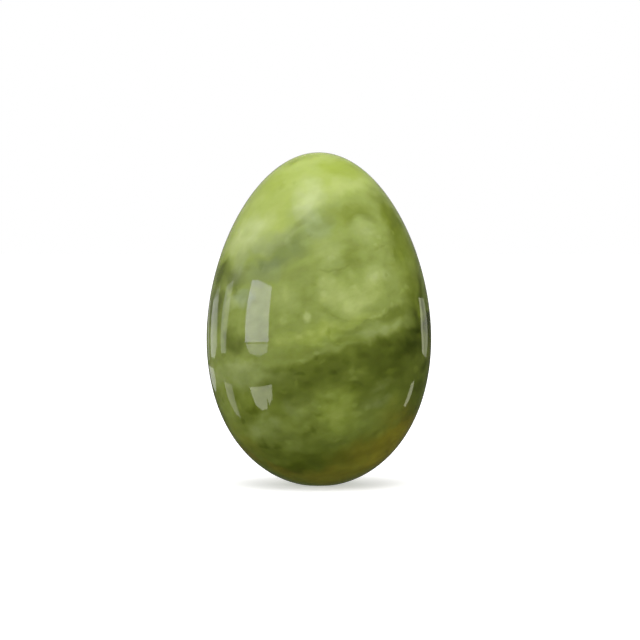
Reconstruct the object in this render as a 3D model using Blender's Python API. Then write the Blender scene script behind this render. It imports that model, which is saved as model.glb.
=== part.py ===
"""A polished egg of cloudy green stone, standing on a small flat ground into its broad end.

The egg is a body of revolution about +Z, and one solid. The origin is the middle of
the flat that it stands on, and the pointed end is up. All sizes are in metres.
"""

import math

import bmesh
import bpy

# Driving dimensions
LENGTH = 0.0603  # from pole to pole, before the flat is ground
GREATEST_DIAMETER = 0.0406
TAPER = 0.119  # how much fuller the broad end is than an even oval, as a share of its radius
FOOT_CUT = 0.0003  # ground off the broad pole, so that the egg stands

# Facets
SIDES = 80  # around the axis
RINGS = 42  # from the foot to the tip

# Finish of the polished stone, in linear colour
STONE_COLOUR = (0.215, 0.275, 0.062, 1.0)
STONE_ROUGHNESS = 0.07
STONE_IOR = 1.57

MERGE_DISTANCE = 1e-6

HALF_LENGTH = LENGTH / 2
# The turn from the broad pole at which the flat begins. The tip is at half a turn.
FOOT_TURN = math.acos(1 - FOOT_CUT / HALF_LENGTH)


def fullness(turn):
    """Radius of the egg at this turn from the broad pole, for an oval of radius 1."""
    return math.sin(turn) * (1 + TAPER * math.cos(turn))


def widest_turn():
    """The turn at which fullness is greatest, where its slope is zero."""
    return math.acos((math.sqrt(1 + 8 * TAPER**2) - 1) / (4 * TAPER))


def profile():
    """Points (radius, height) from the rim of the foot up to the tip, closest at the ends."""
    oval_radius = GREATEST_DIAMETER / 2 / fullness(widest_turn())
    points = []
    for ring in range(RINGS):
        turn = FOOT_TURN + (math.pi - FOOT_TURN) * ring / RINGS
        radius = oval_radius * fullness(turn)
        height = HALF_LENGTH * (math.cos(FOOT_TURN) - math.cos(turn))
        points.append((radius, height))
    tip_height = HALF_LENGTH * (1 + math.cos(FOOT_TURN))
    points.append((0.0, tip_height))
    return points


def egg_mesh():
    """The profile spun about +Z, with one flat face across the foot."""
    shape = bmesh.new()
    outline = [shape.verts.new((radius, 0.0, height)) for radius, height in profile()]
    edges = [shape.edges.new(pair) for pair in zip(outline, outline[1:])]
    bmesh.ops.spin(
        shape,
        geom=outline + edges,
        cent=(0, 0, 0),
        axis=(0, 0, 1),
        angle=math.tau,
        steps=SIDES,
    )
    bmesh.ops.remove_doubles(shape, verts=shape.verts, dist=MERGE_DISTANCE)
    foot_rim = [edge for edge in shape.edges if edge.is_boundary]
    bmesh.ops.contextual_create(shape, geom=foot_rim)
    bmesh.ops.recalc_face_normals(shape, faces=shape.faces)
    mesh = bpy.data.meshes.new("egg")
    shape.to_mesh(mesh)
    shape.free()
    mesh.shade_smooth()
    mesh.set_sharp_from_angle(angle=math.radians(8))
    return mesh


def polished_stone():
    """The stone's mean colour with its gloss."""
    material = bpy.data.materials.new("polished_green_stone")
    material.use_nodes = True
    shader = material.node_tree.nodes["Principled BSDF"]
    shader.inputs["Base Color"].default_value = STONE_COLOUR
    shader.inputs["Roughness"].default_value = STONE_ROUGHNESS
    shader.inputs["Metallic"].default_value = 0.0
    shader.inputs["IOR"].default_value = STONE_IOR
    return material


def clear_scene():
    for obj in list(bpy.data.objects):
        bpy.data.objects.remove(obj)


def main():
    clear_scene()
    egg = bpy.data.objects.new("stone_egg", egg_mesh())
    egg.data.materials.append(polished_stone())
    bpy.context.scene.collection.objects.link(egg)


main()
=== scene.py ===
"""Looks for the polished green stone egg: a fine surface, the cloudy stone and a plain studio.

The stone's pattern is solid: it is worked out from the place in the stone, in millimetres
from the middle of the foot, with +Z up and -Y towards the photograph's camera. The stone
has three traits: its tone, which is how light the green is, its milkiness and its amber.
Layers set them, and clouds, marks and veins change them. The clouds along the egg's left
and right edges also darken its tone there as painted shade.
"""

import math

import bmesh
import bpy
from mathutils import Euler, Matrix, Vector, noise

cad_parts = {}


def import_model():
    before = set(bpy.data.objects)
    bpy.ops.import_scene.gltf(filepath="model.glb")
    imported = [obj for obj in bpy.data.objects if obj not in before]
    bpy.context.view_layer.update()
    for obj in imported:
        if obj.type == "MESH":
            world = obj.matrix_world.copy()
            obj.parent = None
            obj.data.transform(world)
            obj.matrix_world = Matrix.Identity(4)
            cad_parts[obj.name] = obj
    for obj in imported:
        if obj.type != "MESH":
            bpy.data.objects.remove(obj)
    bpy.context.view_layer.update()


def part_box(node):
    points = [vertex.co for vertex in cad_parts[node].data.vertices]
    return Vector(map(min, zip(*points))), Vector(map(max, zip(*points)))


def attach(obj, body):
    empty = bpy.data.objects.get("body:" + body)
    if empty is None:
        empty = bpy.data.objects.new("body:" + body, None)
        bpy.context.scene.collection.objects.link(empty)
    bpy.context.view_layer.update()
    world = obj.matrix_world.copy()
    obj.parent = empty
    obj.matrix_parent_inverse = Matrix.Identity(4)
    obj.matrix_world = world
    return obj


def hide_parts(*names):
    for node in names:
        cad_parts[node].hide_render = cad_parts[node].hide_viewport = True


MM = 0.001

# The egg's outline, as in the frame's source
TAPER = 0.119
FOOT_CUT = 0.3 * MM

# The fine surface
SIDES = 288
RINGS = 216
FOOT_RINGS = 12
FOOT_EASE = 0.03 * MM  # rounding of the foot's rim

# Waves of the polish, as the hand leaves them
WAVE_LENGTH = 9 * MM
WAVE_HEIGHT = 0.005 * MM

# Where the photograph shows the egg, in its pixels
PHOTO_SIDE = 640
AXIS_PIXEL = 318.9
TIP_PIXEL = 152.6
FOOT_PIXEL = 484.75

# The camera, with the lens and the sensor in millimetres
LENS = 150
SENSOR = 36
CAMERA_ELEVATION = math.radians(2)
NEAREST_SEEN = 0.01  # metres
FARTHEST_SEEN = 50  # metres

# How far the panes and the lights stand from the egg, in metres
STUDIO_RADIUS = 0.9

# Lights: azimuth from the camera's side and elevation, in degrees, width in metres, radiance
SOFT_LIGHTS = {
    "overhead": (0, 78, 1.0, 2.3),
    "left_front": (-45, 25, 0.6, 0.8),
}

# The light that falls on the stone from below and from above
SKY_LIGHT = (0.15, 1.0)

# The room that the polish mirrors. It gets brighter along one way, between two places, and
# it is dimmer everywhere but straight behind the egg.
ROOM_BRIGHTENS = (-0.09, 0.0, 1.0)
ROOM_PLACES = (-0.05, 0.6)  # how far along that way
ROOM_LIGHT = (0.06, 0.6)  # how bright it is there
BEHIND_EGG = (0.8, 0.96)  # how far back a direction points, as a share of straight back
ROOM_DIMMER = 0.35  # what is left of the light elsewhere

# The floor
FLOOR_SIDE = 8  # metres
FLOOR_GREY = 0.9
FLOOR_ROUGHNESS = 0.9
FLOOR_GLOW = 0.45

WHITE = (1, 1, 1, 1)

# Windows and lamps that the polish mirrors: how bright, in linear colour, then the corners
# of the reflection as the photograph shows it, in its pixels
PANES = {
    "main_window": (
        (2.75, 2.45, 3.6),
        (252, 280), (258, 280), (272, 287), (268.5, 342), (245, 342), (246.5, 310),
    ),
    "main_window_sill": (
        (1.6, 1.45, 1.95),
        (245.5, 343.5), (268, 343.5), (267, 352), (260, 356), (250, 353.5),
    ),
    "window_below": (
        (2.8, 2.8, 2.5),
        (249.5, 387), (272, 384.5), (272.5, 398), (269.5, 406), (267, 397), (268, 408.5),
        (262.5, 410.5), (256, 405),
    ),
    "second_window": (
        (1.05, 1.05, 1.15),
        (234, 280), (229, 312), (226, 343), (226, 353), (221, 353), (221, 330), (226.5, 287),
    ),
    "second_window_below": (
        (1, 0.95, 0.95),
        (224, 381), (231.5, 384.5), (235, 399), (241, 418), (236, 414), (228, 398),
    ),
    "third_window": (
        (0.95, 0.95, 1),
        (213.5, 300), (219, 295), (217.5, 320), (217, 345), (215, 358), (211.3, 357), (210.8, 330),
    ),
    "third_window_top": (
        (0.45, 0.45, 0.48),
        (217.2, 289), (221, 286), (219, 295), (213.5, 300),
    ),
    "third_window_below": (
        (0.7, 0.7, 0.72),
        (209, 365), (213.5, 368), (216, 380), (216.5, 393), (214.5, 390), (211.5, 380),
    ),
    "left_rim_light": (
        (0.4, 0.4, 0.42),
        (210, 300), (208.2, 320), (208, 340), (208.9, 360), (209.8, 360), (209.1, 340), (209.3, 320),
        (211, 300),
    ),
    "right_lamp": (
        (0.65, 0.65, 0.55),
        (420.3, 297.7), (423.5, 298), (427, 320), (427.5, 345), (426, 358), (423.6, 355), (422.8, 330),
    ),
    "right_lamp_edge": (
        (1.4, 1.4, 1.1),
        (418.5, 297.5), (420.3, 297.7), (422.8, 330), (423.6, 355), (422, 352), (421, 330),
    ),
    "right_lamp_below": (
        (1.7, 1.7, 1.3),
        (414.5, 380), (411.5, 394), (405.5, 407), (403.5, 406), (408, 394), (411, 384),
    ),
}

# How light meets the stone
STONE_IOR = 1.57
LIGHT_ENTERING = 0.7  # the share that enters the stone and comes out near by
LIGHT_DEPTH = 0.8 * MM
LIGHT_SPREAD = (0.8, 1.0, 0.4)  # of red, green and blue, as a share of that depth

# Roughness of the polish where it is best and worst, and the noise in those places
POLISH_ROUGHNESS = (0.03, 0.055)
POLISH_NOISE = (0.35, 0.65)
POLISH_CELLS = 0.3  # noise cells to the millimetre

# The satin of the ground flat: the heights in millimetres at which it ends and is full
SATIN_HEIGHTS = (0.35, 0.05)
SATIN_ROUGHNESS = 0.35

# The push that gives clouds and layers ragged edges: noise cells to the millimetre, then
# the push in millimetres
DRIFTS = ((0.09, 3.0), (0.25, 3.5), (0.7, 0.9))
FINE_DRIFTS = ((0.9, 0.8),)  # for small marks

# The side that the photograph doesn't show fades in from 4 mm in front of the egg's middle
# to 8 mm behind it. Its layers wander more, and its clouds are random: noise cells to the
# millimetre, then how much lighter, milkier and more amber.
BACK_START = -4.0
BACK_FULL = 8.0
BACK_DRIFT = (0.06, 18.0)
BACK_CLOUDS = (
    (0.07, (0.45, 0.7, 0.0)),
    (0.17, (0.50, 0.6, 0.0)),
    (0.42, (0.22, 0.2, 0.0)),
)

# The fine grain: its lie, its stretch, its noise cells to the millimetre and its strength,
# which falls towards the cap between these heights, measured along the cap's tilt
GRAIN_TILT = math.radians(22)
GRAIN_STRETCH = (1.3, 1.3, 0.8)
GRAIN_CELLS = 0.45
GRAIN_NOISE = (0.25, 0.75)  # nearly all of the noise is between these
GRAIN_STRENGTH = 0.12
CAP_GRAIN_STRENGTH = 0.06
CAP_GRAIN_HEIGHTS = (36.0, 48.0)  # millimetres

# Soft pebbles in the grain, lighter in the middle than at the rim
PEBBLE_CELLS = 0.5
PEBBLE_PUSH = (2.0, 2.0, 2.0)  # makes them uneven, in millimetres
PEBBLE_SMOOTHNESS = 0.6
PEBBLE_PLACES = (0.1, 0.8)  # the middle and the rim, in cells
PEBBLE_LIGHT = (0.4, -0.4)

# A cloud is full in its core and fades out at its reach, in half-widths
CLOUD_CORE = 0.4
CLOUD_REACH = 1.6

# How deep into the stone a cloud and a mark reach at the least, in millimetres
CLOUD_DEPTH = 3.0
MARK_DEPTH = 1.2

# Half the length of one stretch of a vein, as a share of the way between its two points
STRETCH_REACH = 0.55

# Layers of the stone, from the top. Each is tilted: its height rises by so much for each
# millimetre to the right and towards the camera.
CAP = {"height": 48.9, "right": 0.55, "front": 0.06, "soft": 1.2}
BODY = {"height": 26.4, "right": 0.27, "front": -0.11, "soft": 1.0}
BELT = {"height": 18.9, "right": -0.04, "front": -0.11, "soft": 1.6}

# Tone, milkiness and amber of each layer
CAP_STONE = (0.45, 0.25, 0.0)
BODY_STONE = (0.37, 0.30, 0.0)
BELT_STONE = (0.185, 0.16, 0.0)
BASE_STONE = (0.27, 0.14, 0.0)

# The stone's green from dark to light, by its tone, in linear colour
GREENS = {
    0.0: (0.026, 0.038, 0.001),
    0.1: (0.088, 0.118, 0.006),
    0.2: (0.179, 0.228, 0.015),
    0.3: (0.268, 0.336, 0.035),
    0.4: (0.363, 0.450, 0.062),
    0.5: (0.461, 0.554, 0.100),
    0.6: (0.562, 0.650, 0.165),
}

# Fully milky and fully amber stone, in linear colour, where its tone is 1
MILKY = (0.93, 1.06, 0.56)
AMBER = (1.13, 1.035, 0.10)

# Amber below nothing makes the green cooler: at -1, its colour is multiplied by this
COOL = (0.85, 1.0, 1.0)

# Clouds that the photograph shows, most of them in the stone and those along the egg's
# left and right edges painted shade: the middle, the half-width and half-height in its
# pixels, the tilt in degrees, up to the right, then how much lighter, milkier and more amber
SEEN_CLOUDS = {
    # The pale cap
    "cap_veil": ((308, 197), 15, 24, 0, 0.1, 0.38, 0),
    "cap_veil_foot": ((300, 212), 14, 7, 20, -0.03, 0.14, 0),
    "cap_left_glow": ((247, 235), 28, 15, 35, 0.11, 0.32, 0),
    "cap_left_rim": ((236, 226), 18, 26, 30, 0.02, 0, 0),
    "cap_left_milk": ((258, 242), 14, 9, 0, 0, 0.16, 0),
    "cap_edge_milk": ((276, 237), 28, 8, 32, 0, 0.28, 0),
    "cap_streak": ((345, 186), 26, 6, 16, 0.05, 0.13, 0),
    "cap_streak_foot": ((330, 200), 12, 8, 10, -0.02, 0.1, 0),
    "cap_top": ((312, 166), 14, 9, 0, 0.02, 0.06, 0),
    "cap_top_left": ((298, 160), 15, 5, 20, -0.055, -0.04, 0),
    "cap_left_green": ((274, 182), 14, 16, 60, -0.04, -0.1, 0),
    "cap_right_green": ((347, 168), 22, 10, 0, -0.06, -0.18, 0),
    "cap_right_end": ((380, 199), 14, 10, 0, -0.1, -0.12, 0),
    "pale_column": ((241, 264), 10, 14, 0, 0.04, 0.28, 0),
    # The green just under the cap
    "cap_shadow": ((353, 214), 22, 8, 12, -0.085, -0.12, 0),
    "cap_shadow_left": ((323, 220), 10, 7, 20, -0.055, -0.1, 0),
    "cap_shadow_end": ((371, 221), 10, 5, 0, -0.05, 0, 0),
    "cap_shadow_edge": ((366, 215), 22, 8, 15, -0.015, -0.02, 0),
    "cap_shadow_right": ((364, 220), 12, 6, 0, -0.02, -0.02, 0),
    # The grey-green band that slopes under the cap
    "olive_spot": ((298, 221), 12, 5, 25, -0.08, -0.02, 0),
    "milky_under_cap": ((318, 224), 15, 12, 25, 0.03, 0.36, -0.18),
    "grey_dark": ((299, 237), 13, 8, 15, -0.01, 0.1, -0.1),
    "grey_band": ((282, 253), 26, 11, 26, -0.08, 0.17, -0.2),
    "grey_band_low": ((262, 272), 20, 12, 20, -0.04, 0.26, -0.12),
    "grey_band_right": ((297, 276), 14, 8, 10, -0.05, 0.04, 0),
    "grey_band_end": ((341, 220), 8, 6, 0, 0.03, 0.02, 0),
    # The green body with its bright heart
    "body_glow": ((328, 253), 12, 18, 0, 0.06, 0.12, 0),
    "shoulder_patch": ((366, 233), 12, 12, 0, 0.045, 0.12, 0),
    "olive_patch": ((350, 258), 9, 13, 0, -0.04, -0.08, 0),
    "olive_mid": ((336, 267), 11, 9, 0, -0.03, 0, 0),
    "olive_top": ((348, 244), 12, 6, 0, -0.025, 0, 0),
    "right_patch": ((375, 275), 15, 10, 30, 0.09, 0.08, 0),
    "right_patch_end": ((388, 279), 8, 5, 0, 0.03, 0, 0),
    "heart": ((354, 298), 19, 14, 10, 0.17, 0.06, 0),
    "heart_left": ((328, 290), 11, 11, 0, 0.11, 0.1, 0),
    "heart_right": ((378, 292), 13, 12, 30, 0.08, 0, 0),
    "heart_top": ((346, 281), 12, 7, 0, 0.045, 0, 0),
    "heart_gap": ((366, 304), 6, 5, 0, -0.035, 0, 0),
    "heart_foot": ((316, 317), 6, 5, 0, 0.03, 0, 0),
    "left_patch": ((283, 300), 16, 13, 0, 0.055, 0.08, 0),
    "left_patch_foot": ((281, 316), 7, 6, 0, 0.03, 0, 0),
    # The bright ridge and the pale streak below the body
    "bright_ridge": ((320, 332), 22, 9, 22, 0.09, -0.14, 0),
    "ridge_right": ((356, 317), 18, 5, 8, 0.075, -0.1, 0),
    "ridge_gap": ((328, 329), 7, 4, 0, -0.04, 0, 0),
    "ridge_left_dark": ((304, 342), 10, 5, 20, -0.05, 0, 0),
    "ridge_foot_dark": ((297, 352), 18, 5, 18, -0.05, -0.08, 0),
    "under_ridge": ((350, 328), 20, 4, 6, -0.065, -0.04, 0),
    "ridge_left_end": ((284, 341), 14, 8, 10, 0.06, -0.06, 0),
    "ridge_left_gap": ((279, 352), 8, 5, 0, -0.03, 0, 0),
    "pale_streak": ((374, 330), 26, 6, 13, 0.05, 0.08, 0),
    "streak_end_light": ((399, 304), 5, 5, 0, 0.045, 0, 0),
    "streak_shadow": ((396, 314), 20, 6, 12, -0.13, -0.12, 0),
    "belt_lip": ((350, 338), 18, 5, 8, -0.07, -0.12, 0),
    # The right edge above the belt, darker towards the edge: partly the stone's own darker green,
    # partly painted shade
    "right_side_green": ((398, 238), 16, 44, -8, -0.04, -0.14, 0),
    "right_shoulder": ((393, 219), 16, 17, 0, -0.15, -0.28, 0),
    "right_shoulder_edge": ((397, 246), 15, 18, 0, -0.11, -0.13, 0),
    "right_shoulder_low": ((412, 250), 16, 20, 0, -0.12, -0.2, 0),
    "shoulder_light": ((388, 208), 8, 5, 30, 0.025, 0, 0),
    "shoulder_dark": ((388, 232), 8, 6, 0, -0.05, 0, 0),
    "shoulder_low_dark": ((388, 256), 8, 6, 0, -0.035, 0, 0),
    "shoulder_low_light": ((400, 257), 6, 5, 0, 0.02, 0, 0),
    # Painted shade: the next six clouds darken the stone along the egg's right edge
    "right_edge_painted_shade": ((417, 298), 18, 28, 0, -0.155, -0.2, 0),
    "right_limb_top": ((418, 262), 24, 16, 0, 0, -0.03, 0),
    "right_rim_painted_shade": ((425, 299), 15, 35, 0, -0.16, -0.06, 0),
    "right_rim_top": ((402, 222), 24, 30, 0, -0.015, 0, 0),
    "right_limb_foot": ((413, 309), 7, 9, 0, -0.06, 0, 0),
    "right_edge_painted_shade_above_belt": ((413, 321), 14, 10, 0, -0.11, 0, 0),
    # The dark belt
    "belt_right": ((390, 357), 26, 13, 12, -0.045, -0.02, 0),
    "belt_right_low": ((388, 376), 22, 9, 8, -0.04, -0.03, 0),
    "belt_right_foot": ((372, 388), 18, 5, 8, 0.02, 0, 0),
    "belt_right_light": ((388, 352), 7, 4, 0, 0.02, 0, 0),
    # Painted shade: the next five clouds darken the stone along the egg's right edge at the belt
    "right_edge_painted_shade_at_belt": ((412, 346), 20, 11, 10, -0.08, -0.02, 0),
    "limb_belt_core": ((411, 341), 10, 8, 0, -0.045, 0, 0),
    "limb_belt_foot": ((414, 360), 14, 8, 0, -0.015, 0, 0),
    "right_edge_painted_shade_below_belt": ((424, 366), 14, 8, 0, -0.025, 0, 0),
    "right_rim_painted_shade_below_belt": ((424, 364), 7, 9, 0, -0.04, 0, 0),
    "belt_edge_dark": ((321, 352), 11, 5, 10, -0.03, 0, 0),
    "belt_lift": ((335, 356), 14, 6, 12, 0.03, 0, 0),
    "belt_mid_lift": ((358, 364), 10, 5, 0, 0.02, 0, 0),
    "belt_low_lift": ((355, 377), 13, 7, 0, 0.07, 0, 0),
    "belt_low_dark": ((341, 376), 6, 5, 0, -0.028, 0, 0),
    "belt_left_lift": ((310, 364), 12, 6, 0, 0.035, 0, 0),
    "belt_left_end": ((293, 363), 8, 5, 0, 0.02, 0, 0),
    "belt_left_foot": ((305, 376), 7, 5, 0, 0.025, 0, 0),
    # The left edge, darker towards the edge: partly the stone's own darker green, partly painted shade
    "left_dark_column": ((236, 277), 14, 10, 0, -0.15, 0.08, 0),
    # Painted shade: the next four clouds darken the stone along the egg's left edge
    "left_edge_painted_shade": ((221, 272), 18, 10, 0, -0.2, -0.04, 0),
    "left_limb_top": ((221, 261), 22, 8, 0, -0.06, -0.1, 0),
    "left_limb_core": ((233, 267), 8, 5, 0, -0.045, 0, 0),
    "left_edge_low_painted_shade": ((216, 308), 20, 23, 0, -0.17, 0.05, 0),
    "left_spot": ((243, 298), 11, 9, 0, 0.01, 0.42, -0.25),
    "left_gleam": ((234, 304), 10, 7, 0, 0.08, 0.26, 0),
    "left_limb_gap": ((221, 312), 8, 18, 0, -0.03, 0, 0),
    "left_limb_light": ((219, 317), 8, 6, 0, 0.04, 0, 0),
    "left_dark": ((233, 346), 19, 12, 0, -0.17, -0.02, 0),
    "left_dark_strip": ((226, 330), 10, 22, 0, -0.02, -0.02, 0),
    "left_dark_light": ((232, 340), 5, 6, 0, 0.05, 0, 0),
    # The milky band low on the left
    "milky_band": ((240, 379), 36, 12, 5, 0.19, 0.3, 0),
    "milky_band_end": ((285, 376), 17, 7, 8, 0.06, 0.06, 0),
    "milky_band_left": ((214, 376), 20, 10, 0, 0.18, 0.2, 0),
    "milky_band_left_light": ((226, 378), 16, 6, 0, 0.03, 0, 0),
    "milky_band_middle": ((256, 377), 7, 5, 0, 0.05, 0, 0),
    "milky_band_foot": ((286, 388), 12, 5, 5, 0.06, 0.03, 0),
    "milky_band_left_foot": ((220, 385), 14, 9, 0, 0.04, 0, 0),
    "left_low_green": ((225, 407), 18, 16, 0, 0.11, 0.08, 0),
    "left_low_light": ((244, 400), 8, 7, 0, 0.06, 0, 0),
    "left_low_spot": ((256, 408), 16, 8, 10, -0.03, -0.04, 0),
    "left_low_dark": ((221, 400), 12, 6, 0, -0.03, 0, 0),
    "left_low_foot": ((232, 411), 10, 6, 0, 0.03, 0, 0),
    "left_low_limb": ((238, 434), 24, 14, 0, 0.085, 0, 0.1),
    # The bright blotch low in the middle
    "low_blotch": ((340, 412), 17, 22, 0, 0.13, -0.05, 0),
    "low_blotch_core": ((338, 422), 9, 9, 0, 0.04, 0, 0),
    "low_blotch_cap": ((328, 391), 18, 6, 0, 0.07, 0, 0),
    "low_blotch_cap_right": ((341, 388), 6, 5, 0, 0.022, 0, 0),
    "low_blotch_shoulder": ((321, 401), 8, 8, 0, 0.06, 0, 0),
    "low_blotch_left": ((302, 407), 15, 12, 0, 0.09, 0.08, 0),
    "low_blotch_right": ((370, 420), 20, 12, 20, 0.04, 0.04, 0),
    "low_blotch_light": ((352, 401), 7, 5, 0, 0.02, 0, 0),
    "low_blotch_right_light": ((364, 412), 6, 5, 0, 0.02, 0, 0),
    "low_blotch_dark": ((332, 425), 7, 6, 0, -0.02, 0, 0),
    "low_blotch_foot": ((326, 436), 18, 7, 0, 0.07, 0, 0),
    "low_blotch_foot_right": ((352, 436), 7, 5, 0, 0.045, 0, 0),
    "under_streak": ((350, 391), 14, 4, 8, -0.01, -0.02, 0),
    "under_streak_dark": ((352, 389), 6, 4, 0, -0.025, 0, 0),
    "blotch_left_gap": ((290, 399), 14, 6, 5, -0.045, 0, 0),
    "blotch_left_dark": ((304, 400), 7, 5, 0, -0.02, 0, 0),
    # The stone on both sides of the blotch
    "low_left_milk": ((264, 431), 24, 11, 10, 0.13, 0.14, 0),
    "low_left_bridge": ((292, 424), 16, 6, 0, 0.06, 0.02, 0),
    "low_left_column": ((291, 444), 8, 12, 0, 0.05, 0.05, 0),
    "low_left_gap": ((281, 437), 8, 5, 0, -0.05, 0, 0),
    "low_left_dark": ((270, 449), 14, 6, -10, -0.06, -0.02, 0),
    "low_right_streak": ((382, 388), 14, 5, 15, 0.055, 0.08, 0),
    "low_right_milk": ((372, 405), 16, 7, 15, 0.01, 0.1, 0),
    "low_right_dark": ((414, 402), 22, 20, 0, -0.1, 0.02, 0),
    "low_right_shadow": ((388, 412), 8, 5, 0, -0.02, 0, 0),
    "low_right_light": ((388, 436), 8, 5, 0, 0.015, 0, 0),
    "low_right_edge": ((400, 434), 12, 7, 40, 0.03, 0, 0),
    # The dark foot
    "foot_dark": ((315, 464), 60, 12, 0, -0.055, -0.06, 0),
    "foot_dark_core": ((294, 470), 16, 8, 0, -0.065, -0.06, 0),
    "foot_dark_low": ((292, 474), 14, 5, 0, -0.03, 0, 0),
    "foot_dark_right": ((313, 461), 12, 6, 0, -0.04, 0, 0),
    "foot_dark_far_right": ((329, 448), 6, 5, 0, -0.03, 0, 0),
    "foot_dark_amber": ((382, 448), 12, 5, 20, -0.03, 0, 0),
    "foot_dark_rim": ((390, 448), 8, 6, 20, -0.05, 0, 0),
    "foot_light": ((280, 461), 9, 5, 0, 0.03, 0, 0),
    # Amber near the lower edge
    "amber_right": ((374, 453), 46, 19, 20, 0.012, -0.05, 0.86),
    "amber_right_up": ((410, 426), 18, 18, 0, -0.01, 0, 0.2),
    "amber_gap": ((398, 424), 12, 6, 30, 0, 0, -0.35),
    "amber_edge": ((364, 461), 26, 8, 30, 0.08, 0, 0),
    "amber_rim": ((386, 456), 30, 16, 40, 0.03, 0, 0.8),
    "amber_glow": ((376, 461), 9, 5, 20, 0.095, 0, 0.1),
    "amber_foot": ((326, 479), 36, 11, 4, 0.01, -0.06, 0.8),
    "amber_left": ((278, 470), 14, 8, -25, 0.02, 0, 0.8),
    "amber_left_low": ((246, 452), 20, 6, -35, 0, 0, 0.8),
    "amber_left_foot": ((252, 448), 18, 10, -20, -0.01, 0, 0.25),
}

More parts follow.
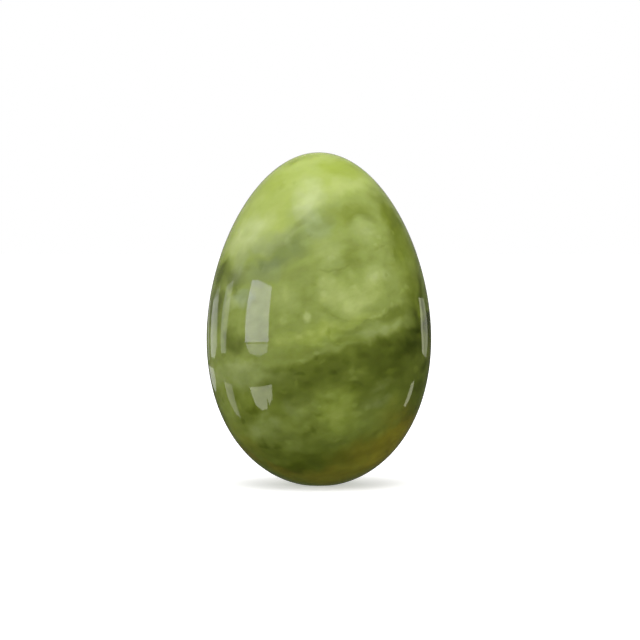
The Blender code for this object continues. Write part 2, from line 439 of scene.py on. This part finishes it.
# Small marks in the photograph, by kind: the change that they make, then each one's middle,
# half-width, half-height and tilt
MARKS = {
    "bright_fleck": (
        (0.2, 0.18, 0),
        ((307.5, 317), 3.6, 4.8, 0),
    ),
    "pale_dots": (
        (0.06, 0.04, 0),
        ((407, 287), 3.4, 2.6, 0), ((332, 258), 3.6, 2.6, 0), ((283, 322), 3.6, 3.8, 0),
        ((316, 353), 3, 1.8, 0), ((379, 237), 3.4, 1.9, 10), ((393, 233), 2, 2, 0),
        ((376, 245), 2.4, 1.8, -20), ((392, 305), 2.4, 2.4, 0), ((353, 287), 3, 2, 0),
        ((355, 405), 2.4, 2.4, 0), ((368, 407), 3.4, 2.8, 0), ((354, 378), 4, 2.2, 0),
        ((352, 371), 3.4, 3.4, 0), ((315, 403), 3.6, 3.6, 0), ((319, 407), 1.6, 1.4, 0),
        ((331, 396), 5.5, 3.2, 0), ((324, 294), 3.4, 3, 0), ((303, 361), 4.6, 1.8, 0),
    ),
    "faint_dots": (
        (0.03, 0.02, 0),
        ((287, 241), 2.6, 4, 0), ((263, 254), 3.6, 2.6, 0), ((305, 243), 4.2, 3.4, 0),
    ),
    "soft_lights": (
        (0.05, 0, 0),
        ((326, 265), 6, 4, 0), ((348, 306), 5, 6, 0), ((299, 337), 3.4, 2, 0), ((310, 333), 4, 3, 0),
        ((323, 329), 4, 7, -15), ((334, 324), 6, 3, 10), ((280, 341), 9, 3.6, 0),
        ((322, 344), 5, 1.4, 0), ((340, 344), 4, 1, 0), ((322, 362), 3, 1.4, 30), ((364, 371), 6, 4, 0),
        ((392, 371), 9, 2.4, 12), ((416, 369), 5, 3.6, 0), ((352, 352), 5, 5, 0), ((402, 258), 4, 7, 0),
        ((402, 292), 4.6, 1.8, 25), ((304, 414), 4.6, 4.6, 0), ((296, 420), 4, 4, 0),
        ((308, 425), 4.4, 4.4, 0), ((329, 408), 5, 3.6, 0), ((337, 414), 8, 7, 0),
        ((340, 429), 6, 5, 0), ((322, 423), 4, 6, 0), ((338, 440), 4, 1.4, 20), ((356, 414), 6, 2.8, 0),
        ((360, 425), 6, 5, 0), ((346, 398), 6, 5, 0), ((290, 442), 5, 2.4, 0), ((285, 452), 5, 3.6, 0),
        ((239, 405), 3, 4, 0), ((235, 304), 5, 4.6, 0), ((296, 382), 1.6, 4, 0),
        ((284, 392), 4, 1.2, 0), ((380, 435), 4, 5, 0), ((286, 296), 4, 6, 0), ((316, 418), 5, 7, 0),
        ((244, 210), 8, 5, 30),
    ),
    "milky_lights": (
        (0.03, 0.09, 0),
        ((309, 200), 6, 8, 0), ((298, 208), 6, 4.6, 30), ((258, 226), 8, 7, 0), ((317, 218), 4, 6, 0),
        ((366, 231), 6, 4, 0), ((240, 271), 3.4, 4, 0), ((287, 404), 6, 5, 0), ((293, 411), 9, 4.6, 0),
        ((378, 389), 9, 2.8, 22), ((388, 398), 6, 4, 0), ((377, 404), 7, 4.6, 0),
        ((256, 431), 7, 6.6, 0), ((276, 422), 6, 7, 20), ((265, 414), 6, 2.6, 30),
        ((368, 334), 11, 3.6, 4), ((384, 330), 7, 4, 30), ((397, 324), 6, 3, 20), ((386, 275), 5, 5, 0),
        ((374, 276), 6, 6, 0), ((244, 302), 3.6, 5, 0),
    ),
    "soft_darks": (
        (-0.035, -0.02, 0),
        ((349, 262), 6, 7, 0), ((347, 276), 3, 6, 0), ((295, 240), 5, 5, 0), ((310, 235), 2.2, 2.2, 0),
        ((261, 266), 2.4, 4, 0), ((248, 268), 6, 2.4, 10), ((395, 253), 2.6, 7, 0),
        ((282, 187), 3.4, 3.6, 0), ((245, 233), 6, 5, 30), ((294, 183), 2.6, 1.8, 0),
        ((294, 162), 7, 2.4, 20), ((398, 355), 12, 4.4, 5), ((362, 355), 8, 3.6, 0),
        ((385, 343), 8, 4, 0), ((318, 370), 4, 3.6, 0), ((333, 373), 4, 2.4, 0), ((346, 362), 4, 3, 0),
        ((333, 358), 6, 2.6, 0), ((292, 371), 3, 3, 0), ((308, 385), 5, 2.8, 0), ((307, 433), 4, 5, 0),
        ((256, 363), 3, 6, 0), ((275, 372), 5, 7, -20), ((247, 392), 3, 6, -20),
        ((297, 316), 3, 2.4, 0), ((287, 312), 1.8, 1.4, 0), ((314, 285), 2.6, 2, 0),
        ((304, 297), 3.4, 8, 5), ((411, 296), 8, 3, 0), ((323, 309), 5, 4, 0), ((356, 390), 4, 7, 45),
        ((376, 433), 5, 3, 20),
    ),
    "dark_gaps": (
        (-0.065, -0.03, 0),
        ((328.5, 334), 1.6, 4.6, 0), ((316, 357), 2.4, 2.6, 0), ((300, 374), 4, 1.8, 0),
        ((318, 415), 4.6, 1.8, -15), ((313, 430), 2.4, 6, 30), ((277, 446), 4.6, 3.4, 0),
        ((264, 446), 7, 2.6, 0), ((252, 411), 7, 4, 0), ((243, 421), 3.6, 3.6, 0),
        ((223, 400), 1.6, 2.2, 0), ((224, 356), 4, 1.8, 0), ((235, 292), 3.6, 5, 0),
        ((386, 275), 1.8, 1.8, 0),
    ),
}

# Veins in the photograph: half the thickness, the change, then the points along them
VEINS = {
    "long_dark_vein": (
        1.5, (-0.03, -0.02, 0),
        (325, 312), (333, 316), (341, 319), (349, 321), (358, 320.5), (367, 320), (374, 321),
        (381, 319), (387, 315), (391, 310),
    ),
    "pale_lip": (
        1.5, (0.06, 0.04, 0),
        (369, 317), (378, 316.5), (382, 313.5), (385.5, 309),
    ),
    "upper_vein": (
        1.3, (-0.035, -0.02, 0),
        (319, 270), (330, 271.5), (340, 269), (350, 265),
    ),
    "right_vein": (
        1.2, (-0.04, -0.02, 0),
        (374, 249.5), (380, 248), (386, 245),
    ),
}

# Clouds out of the photograph's sight: the azimuth from the camera's side, in degrees, and
# the height, half-width and half-height in millimetres, then as for the clouds above
HIDDEN_CLOUDS = {
    "amber_side": ((72, 9), 9, 4, -25, 0.01, 0, 0.9),
    "amber_right_back": ((112, 6), 11, 4, -15, 0.02, 0, 0.8),
    "amber_back": ((165, 9), 10, 3, 20, 0.02, 0, 0.6),
    "amber_left_back": ((232, 6), 9, 3.5, -10, 0, 0, 0.7),
    "left_dark_end": ((-106, 37), 7, 4, 10, -0.1, 0, 0),
    "back_milk": ((190, 38), 9, 5, 25, 0.06, 0.3, 0),
    "back_bright": ((150, 30), 8, 6, -10, 0.1, 0.05, 0),
    "back_dark": ((215, 27), 10, 4, 15, -0.09, -0.05, 0),
    "right_milk": ((118, 39), 8, 5, 30, 0.05, 0.28, 0),
    "right_dark": ((100, 45), 7, 4, -30, -0.08, -0.08, 0),
    "left_milk": ((-128, 20), 9, 5, 10, 0.1, 0.25, 0),
}


class Outline:
    """The egg's outline, from its measured height and diameter, in metres."""

    def __init__(self, height, diameter):
        widest = math.acos((math.sqrt(1 + 8 * TAPER**2) - 1) / (4 * TAPER))
        self.height = height
        self.half_length = (height + FOOT_CUT) / 2
        self.foot_turn = math.acos(1 - FOOT_CUT / self.half_length)
        self.oval = diameter / 2 / (math.sin(widest) * (1 + TAPER * math.cos(widest)))

    def ring(self, turn):
        """Radius and height at this turn from the broad pole."""
        radius = self.oval * math.sin(turn) * (1 + TAPER * math.cos(turn))
        return radius, self.half_length * (math.cos(self.foot_turn) - math.cos(turn))

    def turn_at(self, height):
        """The turn from the broad pole at which the outline has this height."""
        cosine = math.cos(self.foot_turn) - height / self.half_length
        return math.acos(max(-1.0, min(1.0, cosine)))

    def outward(self, point):
        """The direction straight out of the surface at this point."""
        turn = self.turn_at(point.z)
        widening = self.oval * (math.cos(turn) + TAPER * math.cos(2 * turn))
        rise = self.half_length * math.sin(turn)
        around = Vector((point.x, point.y, 0)).normalized()
        return (around * rise - Vector((0, 0, widening))).normalized()


def polished(point, outline):
    """The point, moved by the slight waves of a hand polish. The flat foot has none."""
    fade = min(1.0, point.z / MM)
    wave = noise.noise(point / WAVE_LENGTH) * WAVE_HEIGHT * fade
    return point + outline.outward(point) * wave


def egg_mesh(outline):
    """Rings across the foot and up to the tip, each point moved by the waves of the polish."""
    turns = [outline.foot_turn * i / FOOT_RINGS for i in range(1, FOOT_RINGS)]
    turns += [outline.foot_turn + (math.pi - outline.foot_turn) * i / RINGS for i in range(RINGS)]
    angles = [math.tau * side / SIDES for side in range(SIDES)]
    shape = bmesh.new()
    rings = []
    for turn in turns:
        radius, rise = outline.ring(turn)
        z = (rise + math.hypot(rise, FOOT_EASE)) / 2
        points = [Vector((radius * math.cos(a), radius * math.sin(a), z)) for a in angles]
        rings.append([shape.verts.new(polished(point, outline)) for point in points])
    middle = shape.verts.new((0, 0, 0))
    tip = shape.verts.new((0, 0, outline.height))
    for low, high in zip(rings, rings[1:]):
        for side in range(SIDES):
            after = (side + 1) % SIDES
            shape.faces.new((low[side], low[after], high[after], high[side]))
    for side in range(SIDES):
        after = (side + 1) % SIDES
        shape.faces.new((middle, rings[0][after], rings[0][side]))
        shape.faces.new((tip, rings[-1][side], rings[-1][after]))
    mesh = bpy.data.meshes.new("stone_surface")
    shape.to_mesh(mesh)
    shape.free()
    mesh.shade_smooth()
    return mesh


class Graph:
    """A node tree, with a short call for each kind of node used here."""

    def __init__(self, tree):
        self.tree = tree
        tree.nodes.clear()

    def add(self, kind, inputs, **settings):
        """A new node. Each input is linked if its value is a socket, and set if not."""
        node = self.tree.nodes.new(kind)
        for name, value in settings.items():
            setattr(node, name, value)
        for name, value in inputs.items():
            if isinstance(value, bpy.types.NodeSocket):
                self.tree.links.new(value, node.inputs[name])
            else:
                node.inputs[name].default_value = value
        return node

    def math(self, operation, *values):
        return self.add("ShaderNodeMath", dict(enumerate(values)), operation=operation).outputs[0]

    def vector(self, operation, *values):
        node = self.add("ShaderNodeVectorMath", dict(enumerate(values)), operation=operation)
        scalar = operation in ("DOT_PRODUCT", "LENGTH", "DISTANCE")
        return node.outputs["Value" if scalar else "Vector"]

    def scaled(self, vector, factor):
        node = self.add("ShaderNodeVectorMath", {0: vector, "Scale": factor}, operation="SCALE")
        return node.outputs["Vector"]

    def ramp(self, value, start, end, low=0.0, high=1.0, kind="SMOOTHSTEP"):
        """low before start, high after end, and a smooth or LINEAR change between them."""
        inputs = {"Value": value, "From Min": start, "From Max": end, "To Min": low, "To Max": high}
        return self.add("ShaderNodeMapRange", inputs, interpolation_type=kind).outputs["Result"]

    def noise(self, place, scale, detail=3.0, roughness=0.5, output="Fac"):
        inputs = {"Vector": place, "Scale": scale, "Detail": detail, "Roughness": roughness}
        return self.add("ShaderNodeTexNoise", inputs).outputs[output]

    def random_vector(self, place, scale, detail):
        """A random vector, as often to one side of nothing as to the other."""
        colour = self.noise(place, scale, detail, output="Color")
        return self.vector("SUBTRACT", colour, (0.5, 0.5, 0.5))

    def mix(self, factor, a, b, kind="RGBA"):
        node = self.tree.nodes.new("ShaderNodeMix")
        node.data_type = kind
        sockets = [s for s in node.inputs if s.enabled]
        for socket, value in zip(sockets, (factor, a, b)):
            if isinstance(value, bpy.types.NodeSocket):
                self.tree.links.new(value, socket)
            elif kind == "RGBA" and socket is not sockets[0]:
                socket.default_value = (*value, 1.0)
            else:
                socket.default_value = value
        return next(s for s in node.outputs if s.enabled)

    def colours(self, value, stops):
        """A colour ramp with these stops, each at its own value."""
        node = self.tree.nodes.new("ShaderNodeValToRGB")
        top = max(stops)
        self.tree.links.new(self.math("DIVIDE", value, top), node.inputs[0])
        elements = node.color_ramp.elements
        while len(elements) < len(stops):
            elements.new(0.5)
        for element, at in zip(elements, sorted(stops)):
            element.position = at / top
            element.color = (*stops[at], 1.0)
        return node.outputs["Color"]


def drift(graph, place, scale, push):
    """A random push of up to about half this size, different from place to place."""
    cloudy = graph.random_vector(place, scale, detail=1.0)
    return graph.vector("MULTIPLY", cloudy, (push, push, push))


def warped(graph, place, drifts):
    """The place, pushed about a little so that clouds and layers have natural edges."""
    for scale, push in drifts:
        place = graph.vector("ADD", drift(graph, place, scale, push), place)
    return place


def layer_height(graph, place, layer):
    """The height at which this place's own layer meets the axis."""
    return graph.vector("DOT_PRODUCT", place, (-layer["right"], layer["front"], 1.0))


def above(graph, place, layer):
    """1 above this tilted layer and 0 below it."""
    height = layer_height(graph, place, layer)
    return graph.ramp(height, layer["height"] - layer["soft"], layer["height"] + layer["soft"])


def layered_stone(graph, place):
    """Tone, milkiness and amber of the stone's layers, as a vector."""
    traits = BASE_STONE
    for layer, stone in ((BELT, BELT_STONE), (BODY, BODY_STONE), (CAP, CAP_STONE)):
        traits = graph.mix(above(graph, place, layer), traits, stone, "VECTOR")
    return traits


def cloud_nodes():
    """The nodes of one cloud, shared by all: they add its change to the stone's traits."""
    tree = bpy.data.node_groups.new("cloud", "ShaderNodeTree")
    for name in ("Place", "Traits", "Centre", "Across", "Inward", "Along", "Change"):
        tree.interface.new_socket(name, in_out="INPUT", socket_type="NodeSocketVector")
    tree.interface.new_socket("Traits", in_out="OUTPUT", socket_type="NodeSocketVector")
    graph = Graph(tree)
    cloud = graph.add("NodeGroupInput", {}).outputs
    away = graph.vector("SUBTRACT", cloud["Place"], cloud["Centre"])
    axes = (cloud["Across"], cloud["Inward"], cloud["Along"])
    shares = [graph.vector("DOT_PRODUCT", away, axis) for axis in axes]
    inside = graph.add("ShaderNodeCombineXYZ", dict(enumerate(shares))).outputs["Vector"]
    weight = graph.ramp(graph.vector("LENGTH", inside), CLOUD_REACH, CLOUD_CORE)
    change = graph.scaled(cloud["Change"], weight)
    graph.add("NodeGroupOutput", {"Traits": graph.vector("ADD", change, cloud["Traits"])})
    return tree


def clouded(graph, nodes, place, clouds):
    """The change that all these clouds make together.

    It starts from nothing, so that each cloud is worked out and dropped before the next one:
    the renderer holds only so many unfinished values at a time.
    """
    traits = (0, 0, 0)
    for cloud in clouds:
        inputs = {"Place": place, "Traits": traits, **cloud}
        traits = graph.add("ShaderNodeGroup", inputs, node_tree=nodes).outputs["Traits"]
    return traits


def back_stone(graph, place, traits, behind):
    """The traits, clouded at random on the side that the photograph doesn't show."""
    for scale, change in BACK_CLOUDS:
        cloudy = graph.vector("MULTIPLY", graph.random_vector(place, scale, detail=3.0), change)
        traits = graph.vector("ADD", graph.scaled(cloudy, behind), traits)
    return traits


def stone_traits(graph, place, clouds, marks):
    """Tone, milkiness and amber at this place, as three values."""
    back = graph.vector("DOT_PRODUCT", place, (0, 1, 0))
    behind = graph.ramp(back, BACK_START, BACK_FULL)
    pushed = warped(graph, place, DRIFTS)
    wandering = graph.vector("ADD", graph.scaled(drift(graph, place, *BACK_DRIFT), behind), pushed)
    nodes = cloud_nodes()
    marked = clouded(graph, nodes, warped(graph, place, FINE_DRIFTS), marks)
    shaded = clouded(graph, nodes, pushed, clouds)
    changes = graph.vector("ADD", marked, shaded)
    traits = graph.vector("ADD", layered_stone(graph, wandering), changes)
    traits = back_stone(graph, pushed, traits, behind)
    return graph.add("ShaderNodeSeparateXYZ", {"Vector": traits}).outputs


def grain(graph, place):
    """Fine cloudiness and soft pebbles, stretched along the layers and calmer towards the cap."""
    inputs = {"Vector": place, "Rotation": (0, -GRAIN_TILT, 0), "Scale": GRAIN_STRETCH}
    along = graph.add("ShaderNodeMapping", inputs, vector_type="TEXTURE").outputs["Vector"]
    fine = graph.noise(along, GRAIN_CELLS, detail=3.0, roughness=0.55)
    cloudy = graph.ramp(fine, *GRAIN_NOISE, -1.0, 1.0, "LINEAR")
    push = graph.noise(along, PEBBLE_CELLS, detail=1.0, output="Color")
    bent = graph.vector("MULTIPLY_ADD", push, PEBBLE_PUSH, along)
    cells = {"Vector": bent, "Scale": PEBBLE_CELLS, "Smoothness": PEBBLE_SMOOTHNESS}
    apart = graph.add("ShaderNodeTexVoronoi", cells, feature="SMOOTH_F1").outputs["Distance"]
    pebbly = graph.ramp(apart, *PEBBLE_PLACES, *PEBBLE_LIGHT, "LINEAR")
    height = layer_height(graph, place, CAP)
    strength = graph.ramp(height, *CAP_GRAIN_HEIGHTS, GRAIN_STRENGTH, CAP_GRAIN_STRENGTH)
    return graph.math("MULTIPLY", graph.math("ADD", cloudy, pebbly), strength)


def stone_colour(graph, tone, milk, amber):
    """Green by its tone, then made milky, cooler or amber."""
    green = graph.colours(tone, GREENS)
    colour = graph.mix(milk, green, graph.scaled(MILKY, tone))
    coolness = graph.ramp(amber, 0.0, -1.0, kind="LINEAR")
    colour = graph.mix(coolness, colour, graph.vector("MULTIPLY", colour, COOL))
    return graph.mix(amber, colour, graph.scaled(AMBER, tone))


def stone_roughness(graph, place):
    """A polish that is a little better in some places than in others, and a satin foot."""
    height = graph.vector("DOT_PRODUCT", place, (0, 0, 1))
    satin = graph.ramp(height, *SATIN_HEIGHTS, 0.0, SATIN_ROUGHNESS)
    polish = graph.ramp(graph.noise(place, POLISH_CELLS), *POLISH_NOISE, *POLISH_ROUGHNESS)
    return graph.math("ADD", satin, polish)


def cloudy_green_stone(clouds, marks):
    material = bpy.data.materials.new("cloudy_green_stone")
    material.use_nodes = True
    graph = Graph(material.node_tree)
    at = graph.add("ShaderNodeTexCoord", {}).outputs["Object"]
    place = graph.scaled(at, 1 / MM)
    traits = stone_traits(graph, place, clouds, marks)
    grainy = graph.math("ADD", grain(graph, place), 1.0)
    tone = graph.math("MULTIPLY", traits["X"], grainy)
    inputs = {
        "Base Color": stone_colour(graph, tone, traits["Y"], traits["Z"]),
        "Roughness": stone_roughness(graph, place),
        "IOR": STONE_IOR,
        "Subsurface Weight": LIGHT_ENTERING,
        "Subsurface Scale": LIGHT_DEPTH,
        "Subsurface Radius": LIGHT_SPREAD,
    }
    shader = graph.add("ShaderNodeBsdfPrincipled", inputs)
    graph.add("ShaderNodeOutputMaterial", {"Surface": shader.outputs[0]})
    return material


def add_camera(outline):
    """The camera, placed so that the egg stands at its pixels in the photograph."""
    eye = bpy.data.cameras.new("camera")
    eye.lens = LENS
    eye.sensor_width = SENSOR
    eye.clip_start = NEAREST_SEEN
    eye.clip_end = FARTHEST_SEEN
    pixel = outline.height / (FOOT_PIXEL - TIP_PIXEL)
    middle = PHOTO_SIDE / 2
    target = Vector(((middle - AXIS_PIXEL) * pixel, 0, (FOOT_PIXEL - middle) * pixel))
    back = Vector((0, -math.cos(CAMERA_ELEVATION), math.sin(CAMERA_ELEVATION)))
    camera = bpy.data.objects.new("camera", eye)
    camera.location = target + back * (PHOTO_SIDE * pixel * LENS / SENSOR)
    camera.rotation_euler = (math.pi / 2 - CAMERA_ELEVATION, 0, 0)
    bpy.context.scene.collection.objects.link(camera)
    bpy.context.scene.camera = camera
    bpy.context.view_layer.update()
    return camera


def look(camera, pixel):
    """The direction in which the camera sees this pixel of the photograph."""
    side = SENSOR / PHOTO_SIDE
    middle = PHOTO_SIDE / 2
    ahead = Vector(((pixel[0] - middle) * side, (middle - pixel[1]) * side, -LENS))
    return (camera.matrix_world.to_3x3() @ ahead).normalized()


def seen_point(camera, egg, pixel):
    """The point of the egg that the camera sees at this pixel."""
    found, point, _, _ = egg.ray_cast(camera.location, look(camera, pixel))
    if not found:
        raise ValueError(f"pixel {pixel} misses the egg")
    return point


def surface_cloud(centre, wide, tall, tilt, change, shallowest):
    """A cloud along the surface, in millimetres: each axis is one over its half-width."""
    deep = max(shallowest, (wide + tall) / 2)
    turn = Euler((0, -math.radians(tilt), math.atan2(centre.x, -centre.y))).to_matrix()
    across, inward, along = turn.transposed()
    axes = {"Across": across / wide, "Inward": inward / deep, "Along": along / tall}
    return {"Centre": centre, "Change": change, **axes}


class SeenClouds:
    """Clouds, marks and veins, placed where the photograph shows them."""

    def __init__(self, camera, egg, outline):
        self.camera = camera
        self.egg = egg
        self.pixel = outline.height / MM / (FOOT_PIXEL - TIP_PIXEL)  # in millimetres

    def cloud(self, place, wide, tall, tilt, change, shallowest):
        """One cloud, from its half-width and half-height in the photograph's pixels."""
        centre = seen_point(self.camera, self.egg, place) / MM
        return surface_cloud(centre, wide * self.pixel, tall * self.pixel, tilt, change, shallowest)

    def clouds(self):
        return [self.cloud(*row[:4], row[4:], CLOUD_DEPTH) for row in SEEN_CLOUDS.values()]

    def marks(self):
        """The small marks, then the veins as a chain of thin clouds each."""
        marks = []
        for change, *lies in MARKS.values():
            marks += [self.cloud(*lie, change, MARK_DEPTH) for lie in lies]
        for half, change, *points in VEINS.values():
            for start, end in zip(points, points[1:]):
                along = Vector(end) - Vector(start)
                tilt = math.degrees(math.atan2(-along.y, along.x))
                middle = (Vector(start) + Vector(end)) / 2
                reach = along.length * STRETCH_REACH
                marks.append(self.cloud(middle, reach, half, tilt, change, MARK_DEPTH))
        return marks


def hidden_clouds(outline):
    """The clouds that are placed by azimuth and height."""
    clouds = []
    for (azimuth, height), wide, tall, tilt, *change in HIDDEN_CLOUDS.values():
        radius = outline.ring(outline.turn_at(height * MM))[0] / MM
        turn = math.radians(azimuth)
        centre = Vector((radius * math.sin(turn), -radius * math.cos(turn), height))
        clouds.append(surface_cloud(centre, wide, tall, tilt, change, CLOUD_DEPTH))
    return clouds


def glow(name, radiance):
    material = bpy.data.materials.new(name)
    material.use_nodes = True
    graph = Graph(material.node_tree)
    light = graph.add("ShaderNodeEmission", {"Color": (*radiance, 1.0), "Strength": 1.0})
    graph.add("ShaderNodeOutputMaterial", {"Surface": light.outputs[0]})
    return material


def add_pane(name, radiance, corners, camera, egg, outline):
    """A glowing pane, placed so that the egg mirrors its corners at these pixels."""
    shape = bmesh.new()
    points = []
    for pixel in corners:
        point = seen_point(camera, egg, pixel)
        mirrored = look(camera, pixel).reflect(outline.outward(point))
        points.append(shape.verts.new(point + mirrored * STUDIO_RADIUS))
    shape.faces.new(points)
    mesh = bpy.data.meshes.new(name)
    shape.to_mesh(mesh)
    shape.free()
    mesh.materials.append(glow(name, radiance))
    pane = bpy.data.objects.new(name, mesh)
    pane.visible_camera = False
    pane.visible_diffuse = False
    pane.visible_shadow = False
    bpy.context.scene.collection.objects.link(pane)


def add_soft_light(name, azimuth, elevation, size, radiance, centre):
    """A round light that faces the egg, unseen by the camera and in the polish."""
    turn = math.radians(azimuth)
    rise = math.radians(elevation)
    level = Vector((math.sin(turn), -math.cos(turn), 0))
    out = level * math.cos(rise) + Vector((0, 0, math.sin(rise)))
    area = math.pi * size**2 / 4
    light = bpy.data.lights.new(name, "AREA")
    light.shape = "DISK"
    light.size = size
    light.energy = radiance * math.pi * area
    lamp = bpy.data.objects.new(name, light)
    lamp.location = centre + out * STUDIO_RADIUS
    lamp.rotation_euler = out.to_track_quat("Z", "Y").to_euler()
    lamp.visible_camera = False
    lamp.visible_glossy = False
    bpy.context.scene.collection.objects.link(lamp)


def add_surroundings():
    """White behind the egg, soft light from above, and a dim room for the polish to mirror."""
    surroundings = bpy.data.worlds.new("studio")
    surroundings.use_nodes = True
    graph = Graph(surroundings.node_tree)
    towards = graph.add("ShaderNodeTexCoord", {}).outputs["Generated"]
    parts = graph.add("ShaderNodeSeparateXYZ", {"Vector": towards}).outputs
    sky = graph.ramp(parts["Z"], -1, 1, *SKY_LIGHT, "LINEAR")
    upwards = graph.vector("DOT_PRODUCT", towards, ROOM_BRIGHTENS)
    rising = graph.ramp(upwards, *ROOM_PLACES, *ROOM_LIGHT, "LINEAR")
    room = graph.math("MULTIPLY", rising, graph.ramp(parts["Y"], *BEHIND_EGG, ROOM_DIMMER, 1.0))
    soft, dim, white = [
        graph.add("ShaderNodeBackground", {"Color": WHITE, "Strength": strength}).outputs[0]
        for strength in (sky, room, 1.0)
    ]
    ray = graph.add("ShaderNodeLightPath", {}).outputs
    by_gloss = {0: ray["Is Glossy Ray"], 1: soft, 2: dim}
    mirrored = graph.add("ShaderNodeMixShader", by_gloss).outputs[0]
    by_sight = {0: ray["Is Camera Ray"], 1: mirrored, 2: white}
    shown = graph.add("ShaderNodeMixShader", by_sight).outputs[0]
    graph.add("ShaderNodeOutputWorld", {"Surface": shown})
    bpy.context.scene.world = surroundings


def pale_floor():
    material = bpy.data.materials.new("floor")
    material.use_nodes = True
    graph = Graph(material.node_tree)
    inputs = {
        "Base Color": (FLOOR_GREY, FLOOR_GREY, FLOOR_GREY, 1),
        "Roughness": FLOOR_ROUGHNESS,
        "Emission Color": WHITE,
        "Emission Strength": FLOOR_GLOW,
    }
    shader = graph.add("ShaderNodeBsdfPrincipled", inputs)
    graph.add("ShaderNodeOutputMaterial", {"Surface": shader.outputs[0]})
    return material


def add_floor():
    """The floor that the egg stands on, which neither lights nor shades the egg."""
    bpy.ops.mesh.primitive_plane_add(size=FLOOR_SIDE, location=(0, 0, 0))
    ground = bpy.context.object
    ground.name = "floor"
    ground.visible_glossy = False
    ground.visible_diffuse = False
    ground.visible_shadow = False
    ground.data.materials.append(pale_floor())


def main():
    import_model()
    low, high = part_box("stone_egg")
    outline = Outline(high.z - low.z, high.x - low.x)
    egg = bpy.data.objects.new("polished_egg", egg_mesh(outline))
    bpy.context.scene.collection.objects.link(egg)
    camera = add_camera(outline)
    seen = SeenClouds(camera, egg, outline)
    clouds = seen.clouds() + hidden_clouds(outline)
    egg.data.materials.append(cloudy_green_stone(clouds, seen.marks()))
    for name, (radiance, *corners) in PANES.items():
        add_pane(name, radiance, corners, camera, egg, outline)
    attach(egg, "root")
    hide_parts("stone_egg")
    centre = Vector((0, 0, outline.height / 2))
    for name, settings in SOFT_LIGHTS.items():
        add_soft_light(name, *settings, centre)
    add_surroundings()
    add_floor()
    bpy.context.scene.view_settings.view_transform = "Standard"


main()
